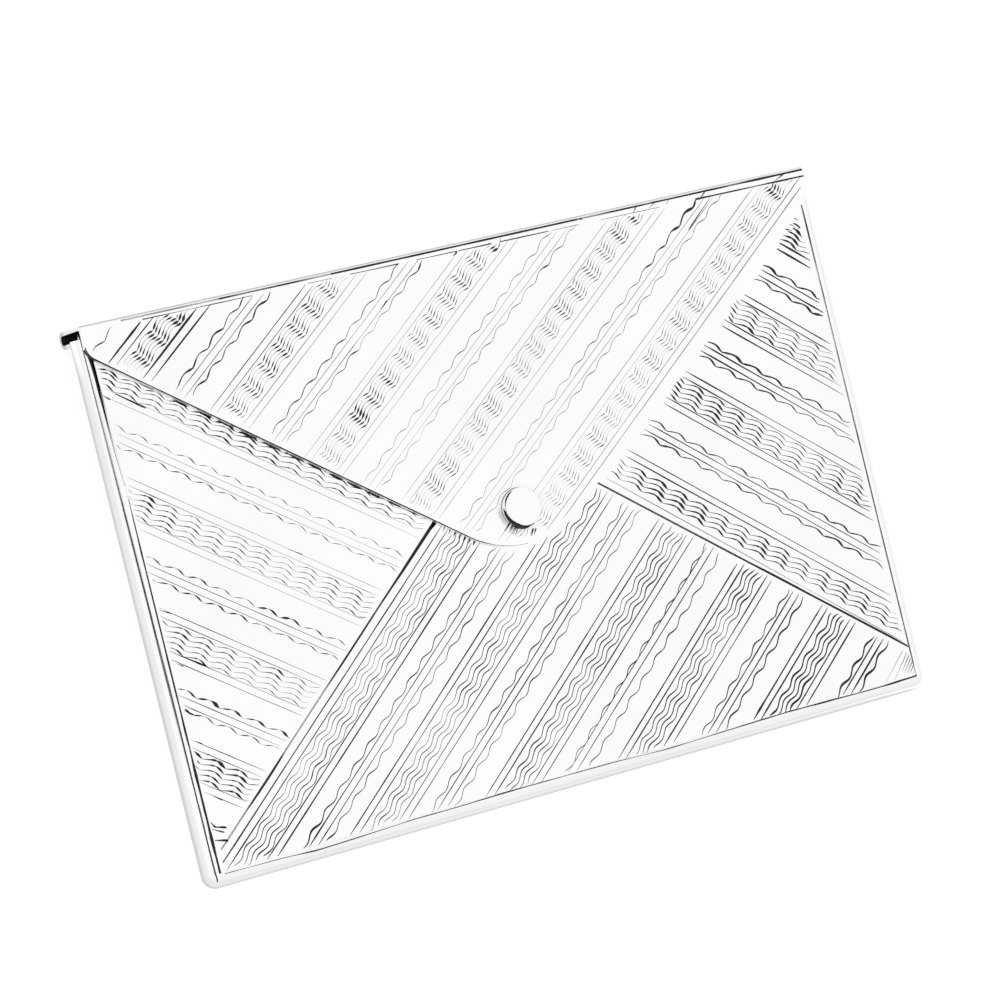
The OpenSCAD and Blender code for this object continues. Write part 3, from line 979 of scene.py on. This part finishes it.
class Tree:
    """Shorthand for building the nodes of a material or of the world."""

    def __init__(self, owner, shader="Principled BSDF"):
        owner.use_nodes = True
        self.owner = owner
        self.nodes = owner.node_tree.nodes
        self.links = owner.node_tree.links
        self.shader = self.nodes[shader]
        coordinates = self.nodes.new("ShaderNodeTexCoord").outputs
        self.place = coordinates["Object"]
        self.normal = coordinates["Normal"]
        self.view = coordinates["Generated"]

    def feed(self, node, inputs):
        """Links each input to an output, or sets it to a plain value."""
        for name, value in inputs.items():
            if isinstance(value, bpy.types.NodeSocket):
                self.links.new(value, node.inputs[name])
            else:
                node.inputs[name].default_value = value

    def shade(self, name, value):
        self.feed(self.shader, {name: value})

    def add(self, kind, inputs, output=0):
        """An output of a new node."""
        node = self.nodes.new(kind)
        self.feed(node, inputs)
        return node.outputs[output]

    def split(self, vector):
        """The x, y and z of a vector."""
        node = self.nodes.new("ShaderNodeSeparateXYZ")
        self.feed(node, {0: vector})
        return node.outputs

    def math(self, operation, *values):
        node = self.nodes.new("ShaderNodeMath")
        node.operation = operation
        self.feed(node, dict(enumerate(values)))
        return node.outputs[0]

    def between(self, value, low, high):
        above = self.math("GREATER_THAN", value, low)
        below = self.math("LESS_THAN", value, high)
        return self.math("MULTIPLY", above, below)

    def length(self, *values):
        total = 0.0
        for value in values:
            total = self.math("ADD", self.math("MULTIPLY", value, value), total)
        return self.math("SQRT", total)

    def stretched(self, turn, scale):
        return self.add("ShaderNodeMapping", {"Vector": self.place, "Rotation": turn, "Scale": scale})

    def noise(self, vector, scale, detail):
        return self.add("ShaderNodeTexNoise", {"Vector": vector, "Scale": scale, "Detail": detail}, "Fac")

    def ramp(self, value, low, high, to_low, to_high):
        """The value, moved from one range to another and held there."""
        return self.add("ShaderNodeMapRange", dict(enumerate((value, low, high, to_low, to_high))))

    def mix(self, share, one, other):
        node = self.nodes.new("ShaderNodeMix")
        node.data_type = "RGBA"
        self.feed(node, {0: share, MIX_ONE: one, MIX_OTHER: other})
        return node.outputs[MIX_RESULT]

    def bump(self, height, distance, strength):
        inputs = {"Height": height, "Distance": distance, "Strength": strength}
        self.shade("Normal", self.add("ShaderNodeBump", inputs))


# Painted shade and dull silver: slack round the hidden walls, ring round the button, and the flap's edge
HIDDEN_SLACK = 0.03
RING_FULL = 0.4
RING_OUT = 0.9
RING_UP = 0.02
UPRIGHT = 0.5
EDGE_UP = 0.01
EDGE_BELOW_BEND = 0.2


def painted_shade_inside(tree):
    """Mask of the painted shade: 1 on the walls of the card pocket and inside the hinge channel, 0 elsewhere."""
    x, y, z = tree.split(tree.place)
    slack = HIDDEN_SLACK * MM
    middle = (BAND_LO.z + BAND_HI.z) / 2
    pocket_r = EDGE_R - SHEET_T
    past_side = tree.math("MAXIMUM", tree.math("SUBTRACT", tree.math("ABSOLUTE", x), PANEL_HI.x * MM), 0.0)
    past_end = tree.math("MAXIMUM", tree.math("SUBTRACT", PANEL_LO.y * MM, y), 0.0)
    off_middle = tree.math("SUBTRACT", z, middle * MM)
    in_pocket = tree.math("LESS_THAN", tree.length(past_side, past_end, off_middle), pocket_r * MM + slack)
    pocket = tree.math("MULTIPLY", in_pocket, tree.math("LESS_THAN", y, PANEL_HI.y * MM + slack))
    off_y = tree.math("SUBTRACT", y, HINGE_AXIS.y * MM)
    off_z = tree.math("SUBTRACT", z, HINGE_AXIS.z * MM)
    curl = tree.math("LESS_THAN", tree.length(off_y, off_z), CURL_SEAT_R * MM + slack)
    behind_spine = tree.between(y, HINGE_AXIS.y * MM, (LID_HI.y - LID_T) * MM + slack)
    above_axis = tree.between(z, HINGE_AXIS.z * MM, (FLAP_Z - LID_T) * MM - slack)
    channel = tree.math("MULTIPLY", behind_spine, above_axis)
    return tree.math("MAXIMUM", pocket, tree.math("MAXIMUM", curl, channel))


def beside_button(tree):
    """1 on the flap round the foot of the button, 0 elsewhere."""
    x, y, z = tree.split(tree.place)
    off_x = tree.math("SUBTRACT", x, (BUTTON_X + PANEL_LO.x) * MM)
    off_y = tree.math("SUBTRACT", y, (BUTTON_Y + PANEL_LO.y) * MM)
    away = tree.length(off_x, off_y)
    near = tree.ramp(away, (BUTTON_R + RING_FULL) * MM, (BUTTON_R + RING_OUT) * MM, 1.0, 0.0)
    return tree.math("MULTIPLY", near, tree.math("LESS_THAN", z, (FLAP_Z + RING_UP) * MM))


def filed_edge(tree):
    """1 on the upright edge of the flap, 0 elsewhere."""
    _, y, z = tree.split(tree.place)
    upright = tree.math("LESS_THAN", tree.math("ABSOLUTE", tree.split(tree.normal)["Z"]), UPRIGHT)
    level = tree.between(z, FRONT_Z * MM, (FLAP_Z + EDGE_UP) * MM)
    below_bend = tree.math("LESS_THAN", y, (LID_HI.y - BEND_R - EDGE_BELOW_BEND) * MM)
    return tree.math("MULTIPLY", upright, tree.math("MULTIPLY", level, below_bend))


# Finishes: colours, roughness, scale and detail of patterns, turn and stretch of marks, and relief
PATTERN_RANGE = (0.3, 0.7)
CLEAN = (0.985, 0.985, 0.98, 1)
CLOUDED = (0.955, 0.95, 0.94, 1)
# SHADED is painted shade: the dark colour of the pocket's walls and the inside of the hinge channel
SHADED = (0.10, 0.095, 0.085, 1)
POLISH = (0.06, 0.13)
DULLNESS = 0.35
CLOUDS = (70, 4)
CLOUD_RANGE = (0.35, 0.75)
RUBBING = ((0, 0, 0.6), (250, 6000, 2000))
RUBBING_DETAIL = 3
RUBBING_RELIEF = (0.002 * MM, 0.25)
DRAWN_COLOURS = ((0.80, 0.79, 0.76, 1), (0.52, 0.50, 0.46, 1))
DRAWN_ROUGHNESS = (0.22, 0.38)
DRAWING = ((0, 0, 0), (120, 5000, 5000))
DRAWING_DETAIL = 4
DRAWING_RELIEF = (0.004 * MM, 0.4)
OXIDE_COLOURS = ((0.004, 0.0035, 0.003, 1), (0.022, 0.019, 0.016, 1))
OXIDE_ROUGHNESS = (0.45, 0.7)
OXIDE_SPECULAR = 0.3
GRAINS = (2500, 3)
GRAIN_RELIEF = (0.003 * MM, 0.3)


def polished_silver_with_painted_shade():
    """Bright sheet with faint clouding and fine rubbing scratches, dull where a cloth can't reach, and painted
    shade inside the pocket and the hinge channel.
    """
    tree = Tree(bpy.data.materials.new("polished_silver_with_painted_shade"))
    clouds = tree.noise(tree.place, *CLOUDS)
    rubbing = tree.noise(tree.stretched(*RUBBING), 1.0, RUBBING_DETAIL)
    clean = tree.mix(tree.ramp(clouds, *CLOUD_RANGE, 0, 1), CLEAN, CLOUDED)
    # Painted shade: the inside of the pocket and the hinge channel are coloured dark
    shaded = painted_shade_inside(tree)
    tree.shade("Base Color", tree.mix(shaded, clean, SHADED))
    unpolished = tree.math("MAXIMUM", beside_button(tree), filed_edge(tree))
    dull = tree.math("MULTIPLY", tree.math("MAXIMUM", shaded, unpolished), DULLNESS)
    tree.shade("Roughness", tree.math("ADD", tree.ramp(clouds, *PATTERN_RANGE, *POLISH), dull))
    tree.shade("Metallic", 1.0)
    tree.bump(rubbing, *RUBBING_RELIEF)
    return tree.owner


def mottle(tree, pattern, colours, roughness, relief):
    """Lets colour, roughness and relief follow one pattern."""
    tree.shade("Base Color", tree.mix(tree.ramp(pattern, *PATTERN_RANGE, 0, 1), *colours))
    tree.shade("Roughness", tree.ramp(pattern, *PATTERN_RANGE, *roughness))
    tree.bump(pattern, *relief)


def drawn_silver():
    """Duller tube and wire with drawing marks along the hinge."""
    tree = Tree(bpy.data.materials.new("drawn_silver"))
    marks = tree.noise(tree.stretched(*DRAWING), 1.0, DRAWING_DETAIL)
    mottle(tree, marks, DRAWN_COLOURS, DRAWN_ROUGHNESS, DRAWING_RELIEF)
    tree.shade("Metallic", 1.0)
    return tree.owner


def tarnish_and_painted_shade():
    """Black oxide and old polish in the cuts, and the colour of painted shade, shadow and reflections."""
    tree = Tree(bpy.data.materials.new("tarnish_and_painted_shade"))
    mottle(tree, tree.noise(tree.place, *GRAINS), OXIDE_COLOURS, OXIDE_ROUGHNESS, GRAIN_RELIEF)
    tree.shade("Specular IOR Level", OXIDE_SPECULAR)
    return tree.owner


def dress_frame():
    """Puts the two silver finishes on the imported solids."""
    finishes = {"silver": polished_silver_with_painted_shade(), "hinge_silver": drawn_silver()}
    for part in frame["record"]["subparts"]:
        slots = frame["nodes"][part["node"]].data.materials
        slots.clear()
        slots.append(finishes[part["material_slot"]])


# Floor: its size and greys, and its glow to the camera and in the metal, where the glow paints shadow and light
FLOOR_SIZE = 3.0
FLOOR_GREY = (0.85, 0.85, 0.85, 1)
MIRRORED_GREY = (0.3, 0.3, 0.3, 1)
SHADOW_GREY = (0.12, 0.12, 0.12, 1)
CAMERA_GLOW = 0.92
GLOW_REACH = 6
GLOW = (0.38, 0.58)
RIGHT_REACH = 0.5
RIGHT_GLOW = 0.3
BEHIND_Y = (0.030, 0.033)
BEHIND_SHARE = 0.75
HINGE_END_Y = (0.026, 0.030)
HINGE_END_SHARE = 1.5
WHITE = (1, 1, 1, 1)

# Dark card: turn in degrees round the case, with its tilt from upright and half its width there
CARD_DISTANCE = 0.5
CARD_STEPS = 49
CARD_TILTS = (
    (164, 44), (167.5, 46), (170.3, 52), (172.7, 46), (175.1, 40.5), (179, 34.5), (181, 30), (184.9, 29),
    (187.7, 24), (192.5, 21), (200, 22),
)
CARD_WIDTHS = ((164, 3.5), (172, 6), (180, 6), (186, 6.5), (192.5, 7), (200, 6))
CARD_BLACK = (0.01, 0.01, 0.01, 1)
CARD_ROUGHNESS = 0.9

# Shades of the surroundings: direction from and to, and strength from and to
SHADE_UP = (0.0, 0.55, 0.84, 1.0)
SHADE_BACK = (-0.4, -0.05, 0.92, 1.0)


def stage_mesh(name, points, faces, material):
    obj = mesh_object(name, points, faces, material)
    obj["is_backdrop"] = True
    return obj


def floor_material():
    """Pale floor, white to the camera with a light shadow.

    In the metal it shows a painted shadow close to the case and behind the hinge, and painted light on the
    right and beside the hinge's left end.
    """
    tree = Tree(bpy.data.materials.new("floor_white"))
    seen = tree.nodes.new("ShaderNodeLightPath").outputs
    camera = seen["Is Camera Ray"]
    mirrored = tree.math("MAXIMUM", seen["Is Glossy Ray"], seen["Is Transmission Ray"])
    x, y, _ = tree.split(tree.place)
    past_left = tree.math("SUBTRACT", BAND_LO.x * MM, x)
    past_right = tree.math("SUBTRACT", x, BAND_HI.x * MM)
    past_end = tree.math("SUBTRACT", BAND_LO.y * MM, y)
    # Painted shadow close to the case and behind the hinge, and painted light on the right and beside the hinge's
    # left end, seen only in the metal
    painted_shadow_near_case = tree.ramp(tree.math("MAXIMUM", past_left, past_end), 0.0, GLOW_REACH * MM, *GLOW)
    painted_light_right = tree.ramp(past_right, 0.0, RIGHT_REACH * MM, 0.0, RIGHT_GLOW)
    behind = tree.ramp(y, *BEHIND_Y, 1.0, BEHIND_SHARE)
    on_left = tree.math("GREATER_THAN", past_left, 0.0)
    painted_light_hinge_end = tree.math("MULTIPLY", on_left, tree.ramp(y, *HINGE_END_Y, 1.0, HINGE_END_SHARE))
    level = tree.math("ADD", painted_shadow_near_case, painted_light_right)
    mirror_glow = tree.math("MULTIPLY", level, tree.math("MAXIMUM", behind, painted_light_hinge_end))
    camera_glow = tree.math("MULTIPLY", camera, CAMERA_GLOW)
    glow = tree.math("ADD", camera_glow, tree.math("MULTIPLY", mirrored, mirror_glow))
    shade = tree.mix(mirrored, FLOOR_GREY, MIRRORED_GREY)
    tree.shade("Base Color", tree.mix(camera, shade, SHADOW_GREY))
    tree.shade("Roughness", 1.0)
    tree.shade("Specular IOR Level", 0.0)
    tree.shade("Emission Color", WHITE)
    tree.shade("Emission Strength", glow)
    return tree.owner


def make_floor():
    """The plane that the closed case rests on: under its lower edge and under the hinge."""
    low_y = PANEL_LO.y * MM
    low_z = BAND_LO.z * MM
    slope = (LID_LO.z * MM - low_z) / (HINGE_AXIS.y * MM - low_y)
    half = FLOOR_SIZE / 2
    points = [
        (x, y, low_z + (y - low_y) * slope)
        for x, y in ((-half, -half), (half, -half), (half, half), (-half, half))
    ]
    stage_mesh("floor", points, [(0, 1, 2, 3)], floor_material())


def make_dark_card():
    """Card that the camera doesn't see, and that the left side of the band mirrors as a dark line."""
    tree = Tree(bpy.data.materials.new("card_black"))
    tree.shade("Base Color", CARD_BLACK)
    tree.shade("Roughness", CARD_ROUGHNESS)
    points = []
    for degrees in spread(CARD_TILTS[0][0], CARD_TILTS[-1][0], CARD_STEPS):
        turn = math.radians(degrees)
        middle = math.radians(between(CARD_TILTS, degrees))
        half_width = math.radians(between(CARD_WIDTHS, degrees))
        for tilt in (middle - half_width, middle + half_width):
            points.append((
                CARD_DISTANCE * math.sin(tilt) * math.cos(turn),
                CARD_DISTANCE * math.sin(tilt) * math.sin(turn),
                CARD_DISTANCE * math.cos(tilt),
            ))
    faces = [(i, i + 1, i + 3, i + 2) for i in range(0, 2 * CARD_STEPS, 2)]
    card = stage_mesh("dark_card", points, faces, tree.owner)
    card.visible_camera = False
    card.visible_diffuse = False
    card.visible_shadow = False


def make_world():
    """White surroundings, a little darker towards the horizon and on the photographer's side."""
    tree = Tree(bpy.data.worlds.new("studio"), "Background")
    _, y, z = tree.split(tree.view)
    tree.shade("Color", WHITE)
    tree.shade("Strength", tree.math("MULTIPLY", tree.ramp(z, *SHADE_UP), tree.ramp(y, *SHADE_BACK)))
    bpy.context.scene.world = tree.owner
    bpy.context.scene.view_settings.view_transform = "Standard"


# Camera fitted to the photograph: turn about the case's height, nod, roll, and its place in millimetres
CAMERA_TURN = 0.4712
CAMERA_NOD = -0.0112
CAMERA_ROLL = -0.2404
CAMERA_DISTANCE = 534.99
CAMERA_RIGHT = -2.031
CAMERA_UP = 1.0885
CAMERA_LENS = 170.3
SENSOR_WIDTH = 36
CLIP_START = 0.01
CLIP_END = 20
TARGET = Vector((0, 0.548, FRONT_Z))


def make_camera():
    back = Vector((
        -math.sin(CAMERA_TURN) * math.cos(CAMERA_NOD),
        -math.sin(CAMERA_NOD),
        math.cos(CAMERA_TURN) * math.cos(CAMERA_NOD),
    ))
    level = Vector((math.cos(CAMERA_TURN), 0, math.sin(CAMERA_TURN)))
    up = back.cross(level).normalized()
    right = up.cross(back).normalized()
    rolled = math.cos(CAMERA_ROLL) * right + math.sin(CAMERA_ROLL) * up
    upright = math.cos(CAMERA_ROLL) * up - math.sin(CAMERA_ROLL) * right
    eye = TARGET + back * CAMERA_DISTANCE + rolled * CAMERA_RIGHT + upright * CAMERA_UP
    data = bpy.data.cameras.new("camera")
    data.sensor_width = SENSOR_WIDTH
    data.lens = CAMERA_LENS
    data.clip_start = CLIP_START
    data.clip_end = CLIP_END
    camera = bpy.data.objects.new("camera", data)
    axes = Matrix((rolled, upright, back)).transposed().to_4x4()
    camera.matrix_world = Matrix.Translation(eye * MM) @ axes
    bpy.context.scene.collection.objects.link(camera)
    bpy.context.scene.camera = camera


def write_sizes():
    """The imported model's box and the dressed model's box."""
    boxes = {"cad": CAD_BOX, "visual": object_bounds()}
    {name: [list(corner) for corner in box] for name, box in boxes.items()}


dress_frame()
# dark is the oxide in the cuts and also the colour of the painted shade, shadow and reflections
dark = tarnish_and_painted_shade()
make_engraving(dark)
make_fold_lines(dark)
make_seam_lines(dark)
make_flap_rim_shade(dark)
make_flap_lip(bpy.data.materials["polished_silver_with_painted_shade"])
make_button_painted_shade(dark)
make_floor()
make_dark_card()
make_world()
make_camera()
write_sizes()
